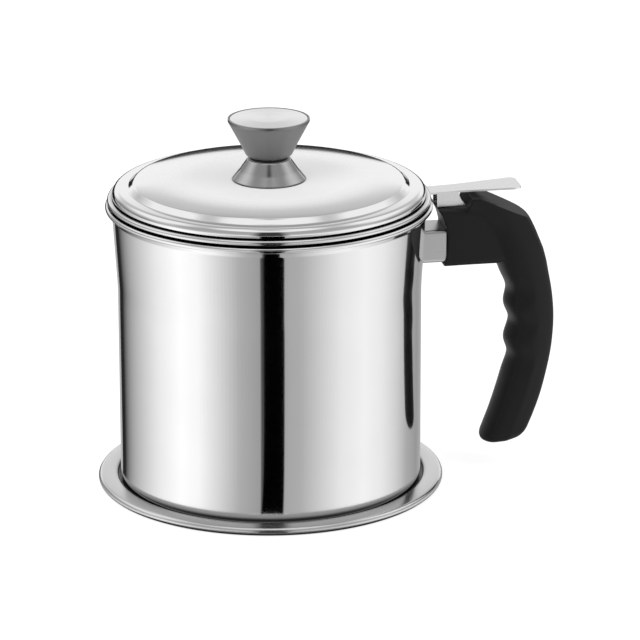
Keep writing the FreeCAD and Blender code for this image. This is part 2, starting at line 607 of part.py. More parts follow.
def knob_cup():
    path = [(KNOB_SCREW_RADIUS + HOLE_CLEARANCE, KNOB_CUP_Z, 0),
            (KNOB_CUP_BOTTOM, KNOB_CUP_Z, KNOB_CUP_BEND),
            (KNOB_CUP_MIDDLE[0], KNOB_CUP_Z + KNOB_CUP_MIDDLE[1], KNOB_CUP_CURVE),
            (KNOB_RIM_RADIUS, KNOB_LIP_Z, KNOB_LIP_BEND), (KNOB_RIM_RADIUS, KNOB_LIP_Z + KNOB_LIP, 0)]
    return revolved_sheet(path, KNOB_SHEET)


def knob_cap():
    bottom = KNOB_LIP_Z + KNOB_CAP_SEAT
    top = bottom + KNOB_CAP_EDGE
    crown = top + KNOB_CAP_CROWN
    radius = KNOB_RIM_RADIUS - KNOB_SHEET - WELD_GAP
    return revolved([(0, bottom, 0), (radius, bottom, 0), (radius, top, KNOB_CAP_ROUND),
                     (radius / 2, crown, KNOB_CAP_CURVE), (0, crown, 0)])


def knob_insert():
    return disc(INSERT_RADIUS, KNOB_CUP_Z + KNOB_SHEET, INSERT_HEIGHT, KNOB_SCREW_RADIUS + THREAD_CLEARANCE)


def knob_lock_washer():
    bottom = LID_TOP_Z - LID_SHEET - WASHER_THICKNESS
    return disc(KNOB_SCREW_HEAD_RADIUS, bottom, WASHER_THICKNESS, KNOB_SCREW_RADIUS + HOLE_CLEARANCE)


def knob_screw():
    head_top = LID_TOP_Z - LID_SHEET - WASHER_THICKNESS
    head = disc(KNOB_SCREW_HEAD_RADIUS, head_top - KNOB_SCREW_HEAD_HEIGHT, KNOB_SCREW_HEAD_HEIGHT)
    rim = min(head.Edges, key=lambda edge: edge.BoundBox.ZMax)
    head = head.makeFillet(KNOB_SCREW_HEAD_HEIGHT / 2, [rim])
    tip = KNOB_CUP_Z + KNOB_SHEET + KNOB_SCREW_REACH
    shank = disc(KNOB_SCREW_RADIUS, head_top, tip - head_top)
    return head.fuse(shank).removeSplitter()


NODES = {
    "drip_tray": drip_tray,
    "pot_shell": pot_shell,
    "handle_pad": handle_pad,
    "handle_boss": handle_boss,
    "handle_ferrule": handle_ferrule,
    "handle_grip": handle_grip,
    "handle_washer": handle_washer,
    "handle_screw": handle_screw,
    "strainer_bowl": strainer_bowl,
    "strainer_mesh": strainer_mesh,
    "mesh_clamp_ring": mesh_clamp_ring,
    "strainer_tab": strainer_tab,
    "lid_shell": lid_shell,
    "knob_base": knob_base,
    "knob_spacer": knob_spacer,
    "knob_cup": knob_cup,
    "knob_cap": knob_cap,
    "knob_insert": knob_insert,
    "knob_lock_washer": knob_lock_washer,
    "knob_screw": knob_screw,
}


def main():
    os.makedirs("parts", exist_ok=True)
    for name, make in NODES.items():
        shape = make()
        shape.exportStep("parts/" + name + ".step")
        print(f"{name}: {len(shape.Solids)} solid, {shape.Volume:.1f} mm3, valid {shape.isValid()}")


main()
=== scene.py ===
"""Finished look of the bacon grease container: steel sheet with fine turned lines, black moulded
plastic and a white studio. Metres, in the solids' own frame.
"""
import json
import math
import bmesh
import bpy
from mathutils import Matrix, Vector


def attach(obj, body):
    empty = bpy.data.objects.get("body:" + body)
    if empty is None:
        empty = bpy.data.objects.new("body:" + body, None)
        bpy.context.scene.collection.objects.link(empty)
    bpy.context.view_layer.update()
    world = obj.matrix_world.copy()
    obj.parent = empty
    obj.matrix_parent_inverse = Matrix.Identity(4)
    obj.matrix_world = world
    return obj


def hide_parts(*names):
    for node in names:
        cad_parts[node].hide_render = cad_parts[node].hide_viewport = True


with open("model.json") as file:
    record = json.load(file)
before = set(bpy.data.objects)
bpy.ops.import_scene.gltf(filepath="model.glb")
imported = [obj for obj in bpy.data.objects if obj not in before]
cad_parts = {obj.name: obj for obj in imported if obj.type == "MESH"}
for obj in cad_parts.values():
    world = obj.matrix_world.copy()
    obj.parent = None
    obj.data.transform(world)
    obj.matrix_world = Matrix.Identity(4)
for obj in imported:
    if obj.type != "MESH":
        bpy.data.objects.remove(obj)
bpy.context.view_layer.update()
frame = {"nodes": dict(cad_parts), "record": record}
nodes = frame["nodes"]
MILLIMETRE = 0.001

# ---- View ------------------------------------------------------------------------------------
VIEW_TURN = math.radians(10.0)        # the camera looks along +Y turned this far towards +X
VIEW_DROP = math.radians(18.03)       # and this far down
VIEW_ROLL = math.radians(-0.10)       # and is rolled this far about its line of sight
VIEW_PLACE = (0.02156, -1.6340, 0.6029)   # across, along and up, before the turn
VIEW_LENS = 224.8
VIEW_SENSOR = 36.0
VIEW_CLIP = (0.1, 50.0)

# ---- Studio ----------------------------------------------------------------------------------
WORLD_DIFFUSE = 0.72                  # light of the white room on matt surfaces
FLOOR_SIZE = 8.0
FLOOR_COLOUR = 0.34                   # matt part of the floor, which takes the shadow
FLOOR_GLOW = 0.80                     # white part that the camera and mirrors see
LAMPS = [("lamp_left", (-0.9, -0.7, 1.1), 9.0),    # name, place as turned() takes it, and power
         ("lamp_right", (1.0, -0.2, 1.0), 6.3)]
LAMP_SIZE = 0.9
LAMP_AIM = (0, 0, 0.08)
POT_RADIUS = 0.065                    # of the wall that mirrors the table card
TABLE_CARD_HEIGHT = 0.0004
TABLE_CARD_REACH = (0.013, 2.4)       # from the pot's wall
TABLE_CARD_STRIPS = 120
FOOT_CARD_HEIGHT = 0.0002
FOOT_CARD_RADII = (0.040, 0.0782)     # grey ring that the rounded foot of the wall shows
FOOT_CARD_LEVEL = 0.30
FOOT_CARD_STRIPS = 72
FAR_CARD_HEIGHT = 0.0006
FAR_CARD_REACH = (0.5, 3.9)           # from the pot's axis
FAR_CARD_HALF_ANGLE = 32.0
FAR_CARD_LEVEL = 0.01
FAR_CARD_STRIPS = 16
# Brightness of the studio's table top, by the angle round the pot's front of the wall that shows
# it. Worked out from eleven greys read off the photographed wall at one height: nine of those
# levels stand, two were changed, and the other stops were set one by one.
TABLE_STOPS = [(-90, 0.5), (-81, 0.5), (-80, 0.02), (-75, 0.02), (-69, 0.30), (-65, 0.45), (-47, 1.0),
               (-36, 1.22), (-28, 1.14), (-11.5, 0.50), (-2.95, 0.38), (-2.9, 0.0), (5.1, 0.0),
               (5.15, 0.45), (11.5, 0.50), (28, 0.96), (38, 1.08), (47, 0.98), (56, 0.75), (64, 0.48),
               (75, 0.35), (80, 0.4), (90, 0.5)]

# Sky of the studio by height above the table, in degrees: far side, near side and sides of the pot.
# The far sky's fall from 17 to 37 degrees was worked out from six greys read off the photographed
# lid and then changed. The rest was set one by one, to the bands that lid and knob show.
FAR_SKY = [(0, 0.02), (3.4, 0.02), (4.8, 1.0), (16.8, 1.0), (18.6, 0.86), (22.0, 0.68), (26, 0.6),
           (31, 0.58), (37, 0.5), (52, 0.42), (64, 0.42), (67, 0.95), (75, 0.95), (79, 0.45), (90, 0.45)]
NEAR_SKY = [(0, 1.0), (5, 1.0), (9, 0.6), (20, 0.5), (30, 0.42), (45, 0.42), (62, 0.45), (68, 1.0),
            (81, 1.0), (86, 0.45), (90, 0.45)]
SIDE_SKY = [(0, 0.25), (12, 0.3), (22, 0.6), (34, 1.0), (56, 1.0), (60, 0.75), (66, 0.6), (76, 1.0),
            (90, 1.0)]
FAR_EDGES = (0.78, 0.86)              # where the far sky starts and is full: shares of half a turn
NEAR_EDGES = (0.40, 0.55)             # where the near sky starts to fade and ends, likewise
# The dark flag beside the camera, by height, and its edges left and right of the camera.
FLAG_SKY = [(0, 0.08), (30, 0.1), (50, 0.12), (60, 0.2), (66, 1.0), (88, 1.0)]
FLAG_EDGES = (-14.0, -6.0, 9.0, 17.0)

# ---- Lid -------------------------------------------------------------------------------------
BORDER_START = 0.034                  # radius where the lid's panel starts to fall away
BORDER_END = 0.0578                   # radius of the panel's edge
BORDER_SLOPE = math.radians(8.5)      # extra slope of the panel at its edge
BORDER_POWER = 3.0
# Added roughness and metallic share from the border's start, 0, to its end, 1.
BORDER_SATIN = [(0.0, 0.18), (0.35, 0.10), (0.8, 0.04), (1.0, 0.0)]
BORDER_METAL = [(0.0, 0.3), (0.3, 0.6), (0.6, 0.9), (1.0, 1.0)]

# ---- Surfaces: scales per metre, depths in metres, and greys as shares of a surface's level --------
LINE_WANDER = 25.0                    # how fast turned lines change on their way round
LINE_SHARE = 0.7                      # of the lines in the uneven gloss; the clouds make the rest
LINE_DEPTH = 0.00002
ACROSS_LINES = 0.25                   # way of the stretched highlights, as a share of a turn
CLOUD_SCALE = 45.0
CLOUD_GREYS = (0.97, 1.03)
GRAIN_DETAIL = 3.0
GRAIN_ROUGHNESS = 0.6
GRAIN_GREYS = (0.94, 1.04)
GRAIN_RELIEF = 0.15
# Painted shade in gaps and corners: these stops turn the occlusion grey into a darkening of the steel's
# colour.
CREVICE_SHADE_STOPS = [(0.0, 0.02), (0.48, 0.04), (0.70, 0.7), (0.85, 1.0)]
CREVICE_SHADE_SAMPLES = 8
MOULD_GRAIN = 3800.0
MOULD_CLOUDS = 60.0
MOULD_GREYS = (0.85, 1.2)
MOULD_DRIFT = (0.04, 0.05)            # of the roughness, down and up
MOULD_RELIEF = 0.25
MOULD_DEPTH = 0.00006
BRASS_GRAIN = 900.0
BRASS_COLOURS = ((0.62, 0.46, 0.22, 1), (0.78, 0.62, 0.34, 1))
BRASS_GLOSS = (0.25, 0.4)             # lowest and highest roughness
FINE = (900.0, 900.0, 900.0)          # fineness of a grain along X, Y and Z
ALONG_X = (60.0, 1800.0, 1800.0)

# ---- Turned sheet, in millimetres: corners (radius, height, rounding) of one face, and thickness -
TURNED_STEPS = 288
ARC_STEP = 9.0                        # degrees between two points of a rounding, about
ARC_LEAST = 4                         # and the fewest steps of a rounding
ON_AXIS = 0.001                       # faces that lie nearer to the axis than this are left out
WELD_DISTANCE = 1e-7                  # metres
SHEET_CREASE = math.radians(40)       # edges that turn more than this stay sharp
TRAY_SHEET = 0.6
TRAY_PATH = [(0, 0, 0), (46, 0, 0.8), (48, 1.0, 0.8), (65.8, 1.0, 0.8), (66.6, 2.9, 0.8),
             (74.06, 2.9, 1.09), (74.06, 0.7, 1.09), (71.9, 0.7, 0)]
POT_SHEET = 0.6
POT_PATH = [(0, 2.4, 0), (45.4, 2.4, 2.0), (47, 1.6, 2.0), (65, 1.6, 3.8), (65, 87.6, 130),
            (66.95, 119.6, 2.0), (68.05, 121.9, 1.5), (68.05, 123.6, 0.59), (69.25, 123.6, 0.59),
            (69.25, 122.4, 0.59), (68.65, 122.4, 0)]
BOWL_SHEET = 0.5
BOWL_PATH = [(50, 98.35, 0), (60.6, 98.35, 3), (66, 120.35, 3), (66, 126.65, 0.4), (68.45, 126.65, 0.64),
             (68.45, 125.35, 0.64), (67.8, 125.35, 0)]
LID_SHEET = -0.6
LID_PATH = [(2.3, 134.25, 0), (36, 134.25, 250), (57.6, 133.7, 1.9), (60.0, 131.4, 1.2),
            (66.8, 131.4, 3.0), (66.8, 127.2, 0.7), (65.1, 127.2, 0), (65.1, 124.9, 0)]

# ---- Handle, in millimetres from the handle's end face and its screw --------------------------
HANDLE_X = 75.3                       # of the end face, from the pot's axis
HANDLE_Z = 102.6                      # of the screw, above the table
NECK_TOP = 16.3
NECK_HALF_WIDTH = 10.0
NECK_EDGE = 3.0
NECK_FRONT = [(-3.6, 16.3), (-1.6, 13.2), (-0.1, 8.6), (0.4, 3.6), (0.2, -2.8), (-0.9, -9.1)]
NECK_ROOT = [(23.5, -9.1), (31.0, 0.0), (18.0, 16.3)]
FERRULE_ROOM = (9.05, 7.25)           # half width and half height
HUMP_FRONT = (9.2, 11.0)              # at the neck's top and at the hump's top
GRIP_TOP = 21.4
FACET_CREST = (35.5, 11.5)
FACET_SLOPE = math.radians(25.0)
GRIP_END = (16.6, -92.4)
GRIP_END_SLOPE = math.radians(10.0)
GRIP_END_EDGE = 4.5
GRIP_HALF_WIDTH = 12.5
GRIP_NOSE = 9.0
GRIP_BACK = 7.0
BORE_RADIUS = 5.2
BORE_FLOOR = 30.0
# Place on the finger side, place on the palm side and share of the full width, from top to bottom.
GRIP_SECTIONS = [((3.0, 14.5), (14.0, 38.0), 0.952), ((10.2, 11.6), (24.5, 31.0), 0.976),
                 ((16.8, 5.6), (36.2, 12.6), 0.992), ((20.6, -1.2), (42.4, -0.2), 1.0),
                 ((23.0, -8.4), (45.0, -8.3), 1.0), ((25.6, -15.0), (46.3, -14.8), 1.0),
                 ((28.4, -22.0), (47.75, -22.5), 1.0), ((27.5, -29.7), (48.65, -30.5), 1.0),
                 ((29.8, -36.7), (48.8, -37.8), 1.0), ((27.7, -45.4), (48.25, -46.3), 0.99),
                 ((29.3, -52.2), (47.15, -53.7), 0.985), ((27.0, -60.0), (45.4, -62.0), 0.975),
                 ((24.9, -67.3), (43.4, -69.8), 0.97), ((22.5, -75.0), (40.7, -77.8), 0.96),
                 ((19.8, -82.8), (37.5, -85.8), 0.95), ((16.6, -90.7), (34.3, -94.0), 0.94),
                 ((13.4, -99.0), (31.0, -102.5), 0.93)]
NOSE_SHAPE = [(0.0, 0.0), (0.12, 0.47), (0.43, 0.82), (1.0, 0.99)]
BACK_SHAPE = [(1.0, 0.985), (0.29, 0.80), (0.03, 0.40), (0.0, 0.0)]
RING_STEPS = 6                        # from one place to the next, on the curves round the grip,
COLUMN_STEPS = 6                      # down the grip
NECK_STEPS = 4                        # and down the neck's front
NECK_EDGE_STEPS = 6
END_STEPS = 10                        # of the rounding at the grip's lower end
END_MARGIN = 1.3                      # the sections end this many roundings above the lower end
ROD_STEPS = 48
CUT_FRONT = -20.0                     # the blocks that cut the handle reach well past it
CUT_BACK = 90.0
CUT_TOP = 60.0
CUT_HALF_WIDTH = 30.0
ROOM_FRONT = -30.0
SAME_LINE = 1e-6                      # metres
GRIP_VOXEL = 0.00045                  # metres
GRIP_SMOOTH_FACTOR = 0.5
GRIP_SMOOTH_PASSES = 5

# ---- Strainer tab, in millimetres from its root at the strainer's rim ---------------------------
TAB_ROOT = (69.0, 125.8)              # from the pot's axis, and above the table
TAB_ROOT_GAP = 0.02                   # the root's arc lies this far outside that radius
TAB_ROOT_SHARES = (-1.0, -0.5, 0.0, 0.5, 1.0)    # places on the arc, as shares of the half width
TAB_HALF_WIDTH = 5.2
TAB_TIP_HALF_WIDTH = 8.2
TAB_LENGTH = 39.6
TAB_TIP_CORNER = 3.0
TAB_ARC_STEPS = 8
TAB_SHEET = 0.8
TAB_FLANGE_START = 3.0
TAB_FLANGE_END = 12.3
TAB_FLANGE_HEIGHT = 6.6
TAB_WAIST = [(-1.5, 0.0), (0.0, 0.06), (1.5, 0.2)]    # from the flange's end, and out from the root
TAB_SCOOP = 8.5
TAB_RISE = math.radians(2.1)
TAB_BEVEL = 0.00018                   # metres
TAB_BEVEL_STEPS = 2
TAB_CREASE = math.radians(40)         # edges that turn more than this are bevelled


def turned(x, y, z):
    """A place given across, along and up as the camera sees it, in the solids' frame."""
    return Matrix.Rotation(-VIEW_TURN, 3, "Z") @ Vector((x, y, z))


# ---- Small helpers for node trees -------------------------------------------------------------
def add(tree, kind, inputs=None, **settings):
    """A new node with its settings; inputs maps a socket's name or number to a value or a link."""
    node = tree.nodes.new(kind)
    for key, value in settings.items():
        setattr(node, key, value)
    for key, value in (inputs or {}).items():
        if isinstance(value, bpy.types.NodeSocket):
            tree.links.new(value, node.inputs[key])
        else:
            node.inputs[key].default_value = value
    return node


def maths(tree, operation, *values):
    return add(tree, "ShaderNodeMath", dict(enumerate(values)), operation=operation).outputs[0]


def grey(level):
    return (level, level, level, 1)


def ramp(tree, factor, stops):
    """A grey ramp from (position, brightness) stops."""
    node = add(tree, "ShaderNodeValToRGB", {0: factor})
    points = node.color_ramp.elements
    while len(points) > 1:
        points.remove(points[-1])
    points[0].position = stops[0][0]
    points[0].color = grey(stops[0][1])
    for position, level in stops[1:]:
        points.new(position).color = grey(level)
    return node.outputs[0]


def spread(tree, value, low, high):
    """A value that runs from 0 to 1, stretched to run from low to high."""
    return add(tree, "ShaderNodeMapRange", {"Value": value, "To Min": low, "To Max": high}).outputs[0]


def share_between(tree, value, low, high):
    """Where a value lies between low and high, from 0 to 1."""
    return add(tree, "ShaderNodeMapRange", {"Value": value, "From Min": low, "From Max": high}).outputs[0]


def noise(tree, vector, scale, detail=2.0, roughness=0.5):
    node = add(tree, "ShaderNodeTexNoise", {"Vector": vector, "Scale": scale, "Detail": detail,
                                            "Roughness": roughness})
    return node.outputs[0]


def mixed(tree, factor, first, second, blend="MIX"):
    """A mix of two colours or links."""
    node = add(tree, "ShaderNodeMix", {"Factor": factor, "A": first, "B": second}, data_type="RGBA",
               blend_type=blend)
    return node.outputs["Result"]


def object_place(tree):
    return add(tree, "ShaderNodeTexCoord").outputs["Object"]


def bare_tree(holder):
    """The emptied node tree of a material or a world."""
    holder.use_nodes = True
    holder.node_tree.nodes.clear()
    return holder.node_tree


def new_material(name):
    """A material, its tree and its shader."""
    material = bpy.data.materials.new(name)
    tree = bare_tree(material)
    shader = add(tree, "ShaderNodeBsdfPrincipled")
    add(tree, "ShaderNodeOutputMaterial", {"Surface": shader.outputs[0]})
    return material, tree, shader


def colour_between(tree, shader, factor, dark, light):
    """Lets the shader's colour drift between two colours."""
    tree.links.new(mixed(tree, factor, dark, light), shader.inputs["Base Color"])


def grey_between(tree, shader, factor, level, shares):
    """Lets the shader's colour drift between two shares of a grey."""
    dark, light = [grey(min(level * share, 1)) for share in shares]
    colour_between(tree, shader, factor, dark, light)


def bump(tree, shader, height, strength, distance):
    node = add(tree, "ShaderNodeBump", {"Height": height, "Strength": strength, "Distance": distance})
    tree.links.new(node.outputs[0], shader.inputs["Normal"])


# ---- Materials -------------------------------------------------------------------------------
def from_axis(tree):
    """A point's X, Y and Z, and its distance from the pot's axis."""
    split = add(tree, "ShaderNodeSeparateXYZ", {0: object_place(tree)}).outputs
    spoke = add(tree, "ShaderNodeCombineXYZ", {0: split[0], 1: split[1]}).outputs[0]
    radius = add(tree, "ShaderNodeVectorMath", {0: spoke}, operation="LENGTH").outputs["Value"]
    return split, radius


def turned_lines(tree, fineness):
    """Fine lines round the pot's axis, on walls and on level sheet alike, from 0 to 1."""
    split, radius = from_axis(tree)
    along = maths(tree, "MULTIPLY", maths(tree, "ADD", radius, split[2]), fineness)
    slow_x = maths(tree, "MULTIPLY", split[0], LINE_WANDER)
    slow_y = maths(tree, "MULTIPLY", split[1], LINE_WANDER)
    place = add(tree, "ShaderNodeCombineXYZ", {0: slow_x, 1: slow_y, 2: along}).outputs[0]
    return noise(tree, place, 1.0, GRAIN_DETAIL, GRAIN_ROUGHNESS)


def painted_crevice_shade(tree, reach):
    """Painted shade: 1 on open faces, nearly 0 in gaps that are narrower than the reach, where shade
    falls.
    """
    open_share = add(tree, "ShaderNodeAmbientOcclusion", {"Distance": reach}, samples=CREVICE_SHADE_SAMPLES)
    return ramp(tree, open_share.outputs["AO"], CREVICE_SHADE_STOPS)


def paint_shade_on(tree, shader, factor):
    """Multiplies the shader's linked colour by a grey factor, which paints shade into it."""
    colour = shader.inputs["Base Color"].links[0].from_socket
    tree.links.new(mixed(tree, 1.0, colour, factor, "MULTIPLY"), shader.inputs["Base Color"])


def turned_steel(name, level, roughness, drift, anisotropy, fineness=2600.0, relief=0.1, reach=0.0025,
                 finish=None):
    """Sheet steel with lines round the pot's axis, which stretch its highlights across them, and with
    shade painted into its gaps.
    """
    material, tree, shader = new_material(name)
    shader.inputs["Metallic"].default_value = 1.0
    shader.inputs["Anisotropic"].default_value = anisotropy
    shader.inputs["Anisotropic Rotation"].default_value = ACROSS_LINES
    lines = turned_lines(tree, fineness)
    clouds = noise(tree, object_place(tree), CLOUD_SCALE)
    grey_between(tree, shader, clouds, level, CLOUD_GREYS)
    # painted shade: the steel's colour darkens in gaps narrower than the reach
    paint_shade_on(tree, shader, painted_crevice_shade(tree, reach))
    uneven = maths(tree, "ADD", maths(tree, "MULTIPLY", lines, LINE_SHARE),
                   maths(tree, "MULTIPLY", clouds, 1 - LINE_SHARE))
    gloss = spread(tree, uneven, roughness - drift, roughness + drift)
    tree.links.new(gloss, shader.inputs["Roughness"])
    bump(tree, shader, lines, relief, LINE_DEPTH)
    tangent = add(tree, "ShaderNodeTangent", direction_type="RADIAL", axis="Z")
    tree.links.new(tangent.outputs[0], shader.inputs["Tangent"])
    if finish:
        finish(tree, shader, gloss)
    return material


def lid_finish(tree, shader, gloss):
    """Satin panel with a light bloom, and a border that falls away more and more to its edge."""
    share = share_between(tree, from_axis(tree)[1], BORDER_START, BORDER_END)
    satin = ramp(tree, share, BORDER_SATIN)
    tree.links.new(maths(tree, "ADD", gloss, satin), shader.inputs["Roughness"])
    tree.links.new(ramp(tree, share, BORDER_METAL), shader.inputs["Metallic"])
    drop = -math.tan(BORDER_SLOPE) * (BORDER_END - BORDER_START) / BORDER_POWER
    fall = maths(tree, "MULTIPLY", maths(tree, "POWER", share, BORDER_POWER), drop)
    before = shader.inputs["Normal"].links[0].from_socket
    border = add(tree, "ShaderNodeBump", {"Height": fall, "Strength": 1.0, "Distance": 1.0,
                                          "Normal": before})
    tree.links.new(border.outputs[0], shader.inputs["Normal"])


def plain_steel(name, level, roughness, drift, stretch):
    """Steel with a satin grain; stretch gives the grain's fineness along X, Y and Z."""
    material, tree, shader = new_material(name)
    shader.inputs["Metallic"].default_value = 1.0
    place = add(tree, "ShaderNodeMapping", {0: object_place(tree), "Scale": stretch}).outputs[0]
    grain = noise(tree, place, 1.0, GRAIN_DETAIL, GRAIN_ROUGHNESS)
    grey_between(tree, shader, grain, level, GRAIN_GREYS)
    tree.links.new(spread(tree, grain, roughness - drift, roughness + drift), shader.inputs["Roughness"])
    bump(tree, shader, grain, GRAIN_RELIEF, LINE_DEPTH)
    return material


def moulded_plastic(name, level, roughness, specular):
    """Black moulded plastic: a very fine grain and soft uneven gloss."""
    material, tree, shader = new_material(name)
    shader.inputs["Specular IOR Level"].default_value = specular
    grain = noise(tree, object_place(tree), MOULD_GRAIN, roughness=GRAIN_ROUGHNESS)
    clouds = noise(tree, object_place(tree), MOULD_CLOUDS, GRAIN_DETAIL)
    grey_between(tree, shader, clouds, level, MOULD_GREYS)
    gloss = spread(tree, clouds, roughness - MOULD_DRIFT[0], roughness + MOULD_DRIFT[1])
    tree.links.new(gloss, shader.inputs["Roughness"])
    bump(tree, shader, grain, MOULD_RELIEF, MOULD_DEPTH)
    return material


def brass(name):
    """Plain brass with a fine grain."""
    material, tree, shader = new_material(name)
    shader.inputs["Metallic"].default_value = 1.0
    grain = noise(tree, object_place(tree), BRASS_GRAIN)
    colour_between(tree, shader, grain, *BRASS_COLOURS)
    tree.links.new(spread(tree, grain, *BRASS_GLOSS), shader.inputs["Roughness"])
    return material


# Steels: grey level, roughness and its drift, then the turned ones' anisotropy or the plain ones'
# grain. Plastics: grey level, roughness and specular level.
MATERIALS = {
    # reach: how far the shade painted into gaps spreads, in metres
    "tray_steel": turned_steel("tray_steel", 0.74, 0.20, 0.06, 0.55, reach=0.0045),
    "pot_steel": turned_steel("pot_steel", 0.82, 0.085, 0.02, 0.75, relief=0.05, reach=0.0032),
    "strainer_steel": turned_steel("strainer_steel", 0.78, 0.13, 0.04, 0.6, reach=0.0032),
    "lid_steel": turned_steel("lid_steel", 0.84, 0.06, 0.02, 0.4, relief=0.03, reach=0.0015,
                              finish=lid_finish),
    "knob_steel": turned_steel("knob_steel", 0.50, 0.20, 0.07, 0.2),
    "knob_cup_steel": turned_steel("knob_cup_steel", 0.25, 0.36, 0.08, 0.4, fineness=5200.0, relief=0.4),
    "knob_cap_steel": turned_steel("knob_cap_steel", 0.86, 0.24, 0.05, 0.3, fineness=4200.0),
    "ferrule_steel": plain_steel("ferrule_steel", 0.54, 0.30, 0.06, ALONG_X),
    "tab_steel": plain_steel("tab_steel", 0.88, 0.28, 0.05, ALONG_X),
    "bracket_steel": plain_steel("bracket_steel", 0.55, 0.38, 0.08, FINE),
    "fastener_steel": plain_steel("fastener_steel", 0.60, 0.30, 0.08, FINE),
    "mesh_steel": plain_steel("mesh_steel", 0.62, 0.28, 0.06, FINE),
    "handle_black": moulded_plastic("handle_black", 0.006, 0.48, 0.26),
    "spacer_black": moulded_plastic("spacer_black", 0.005, 0.45, 0.2),
    "insert_brass": brass("insert_brass"),
}


def dress_nodes():
    """Gives every solid the material of its slot in the record."""
    for part in frame["record"]["subparts"]:
        piece = nodes[part["node"]]
        for slot in piece.material_slots:
            slot.material = MATERIALS[part["material_slot"]]
        # The photographed lid is a mirror, but shows nothing of its knob.
        piece.visible_glossy = not part["node"].startswith("knob_")


# ---- Mesh helpers ------------------------------------------------------------------------------
def new_object(name, corners, faces):
    """An object from corners in metres."""
    mesh = bpy.data.meshes.new(name)
    mesh.from_pydata(corners, [], faces)
    made = bpy.data.objects.new(name, mesh)
    bpy.context.scene.collection.objects.link(made)
    return made


def edit_mesh(made, change):
    """Lets a function change an object's mesh."""
    work = bmesh.new()
    work.from_mesh(made.data)
    change(work)
    work.to_mesh(made.data)
    work.free()


def face_outwards(work):
    bmesh.ops.recalc_face_normals(work, faces=work.faces)


def new_solid(name, corners, faces):
    """A closed form from corners in millimetres."""
    made = new_object(name, [Vector(corner) * MILLIMETRE for corner in corners], faces)
    edit_mesh(made, face_outwards)
    return made


def drawn_out(name, first, second):
    """A closed form between an outline and the same outline in another place."""
    count = len(first)
    sides = [(n, (n + 1) % count, (n + 1) % count + count, n + count) for n in range(count)]
    ends = [tuple(range(count)), tuple(range(2 * count - 1, count - 1, -1))]
    return new_solid(name, first + second, sides + ends)


def settle(made):
    """Turns an object's modifiers into plain mesh."""
    shape = bpy.data.meshes.new_from_object(made.evaluated_get(bpy.context.evaluated_depsgraph_get()))
    made.modifiers.clear()
    made.data = shape


def combined(body, others, operation):
    """Joins other objects to the body, or cuts them out of it."""
    for other in others:
        step = body.modifiers.new(operation.lower(), "BOOLEAN")
        step.operation = operation
        step.solver = "EXACT"
        step.object = other
    settle(body)
    for other in others:
        bpy.data.objects.remove(other)


def curve_through(places, steps, closed=False):
    """Points along a smooth curve through the places, with as many steps between two of them."""
    count = len(places)
    spans = count if closed else count - 1
    points = []
    for index in range(spans):
        if closed:
            around = [places[(index + shift) % count] for shift in (-1, 0, 1, 2)]
        else:
            around = [places[min(max(index + shift, 0), count - 1)] for shift in (-1, 0, 1, 2)]
        for step in range(steps):
            t = step / steps
            points.append(0.5 * ((2 * around[1]) + (around[2] - around[0]) * t
                                 + (2 * around[0] - 5 * around[1] + 4 * around[2] - around[3]) * t ** 2
                                 + (3 * around[1] - around[0] - 3 * around[2] + around[3]) * t ** 3))
    if not closed:
        points.append(places[-1])
    return points


def dressed(piece, slot, body, *stands_for):
    """Gives a piece its material, the body it moves with and the solids it stands for."""
    piece.data.materials.clear()
    piece.data.materials.append(MATERIALS[slot])
    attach(piece, body)
    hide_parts(*stands_for)


# ---- Turned sheet -----------------------------------------------------------------------------
def flat(corner):
    return Vector((corner[0], corner[1]))


def other_face(path, thickness):
    """The path's other face: thickness to the left of its direction, or to the right if negative."""
    shifted = []
    last = len(path) - 1
    for index, corner in enumerate(path):
        into = (flat(path[max(index, 1)]) - flat(path[max(index - 1, 0)])).normalized()
        out = (flat(path[min(index + 1, last)]) - flat(path[min(index, last - 1)])).normalized()
        normal = Vector((-into.y - out.y, into.x + out.x))
        place = flat(corner) + normal * (thickness * 2 / normal.length_squared)
        turn = math.copysign(1, into.x * out.y - into.y * out.x)
        radius = corner[2] - turn * thickness if corner[2] > 0 else 0
        shifted.append((place.x, place.y, max(radius, 0)))
    return shifted


def rounded(corners):
    """Points along a closed outline whose corners are rounded by tangent arcs."""
    points = []
    for index, corner in enumerate(corners):
        here = flat(corner)
        if corner[2] <= 0:
            points.append(here)
            continue
        back = (flat(corners[index - 1]) - here).normalized()
        ahead = (flat(corners[(index + 1) % len(corners)]) - here).normalized()
        half = back.angle(ahead) / 2
        middle = here + (back + ahead).normalized() * (corner[2] / math.sin(half))
        start = here + back * (corner[2] / math.tan(half)) - middle
        sweep = math.pi - 2 * half
        turn = math.copysign(1, start.x * ahead.y - start.y * ahead.x)
        steps = max(ARC_LEAST, round(math.degrees(sweep) / ARC_STEP))
        for step in range(steps + 1):
            angle = turn * sweep * step / steps
            spoke = Matrix.Rotation(angle, 2) @ start
            points.append(middle + spoke)
    return points


def turned_grid(outline):
    """Corners and faces of a closed outline turned about the pot's axis."""
    count = len(outline)
    corners = []
    faces = []
    for step in range(TURNED_STEPS):
        turn = 2 * math.pi * step / TURNED_STEPS
        corners += [(point.x * math.cos(turn), point.x * math.sin(turn), point.y) for point in outline]
        here = step * count
        there = (step + 1) % TURNED_STEPS * count
        for n in range(count):
            after = (n + 1) % count
            if max(outline[n].x, outline[after].x) > ON_AXIS:
                faces.append((here + n, there + n, there + after, here + after))
    return corners, faces


def weld_smooth(work):
    """Joins the corners that meet on the axis, and smooths all faces."""
    bmesh.ops.remove_doubles(work, verts=work.verts, dist=WELD_DISTANCE)
    face_outwards(work)
    for face in work.faces:
        face.smooth = True


def turned_sheet(name, path, thickness, material, body, node):
    """A sheet turned about the pot's axis, smoother than the solid that it stands for."""
    outline = rounded(path + other_face(path, thickness)[::-1])
    corners, faces = turned_grid(outline)
    sheet = new_solid(name, corners, faces)
    edit_mesh(sheet, weld_smooth)
    sheet.data.set_sharp_from_angle(angle=SHEET_CREASE)
    dressed(sheet, material, body, node)
    return sheet


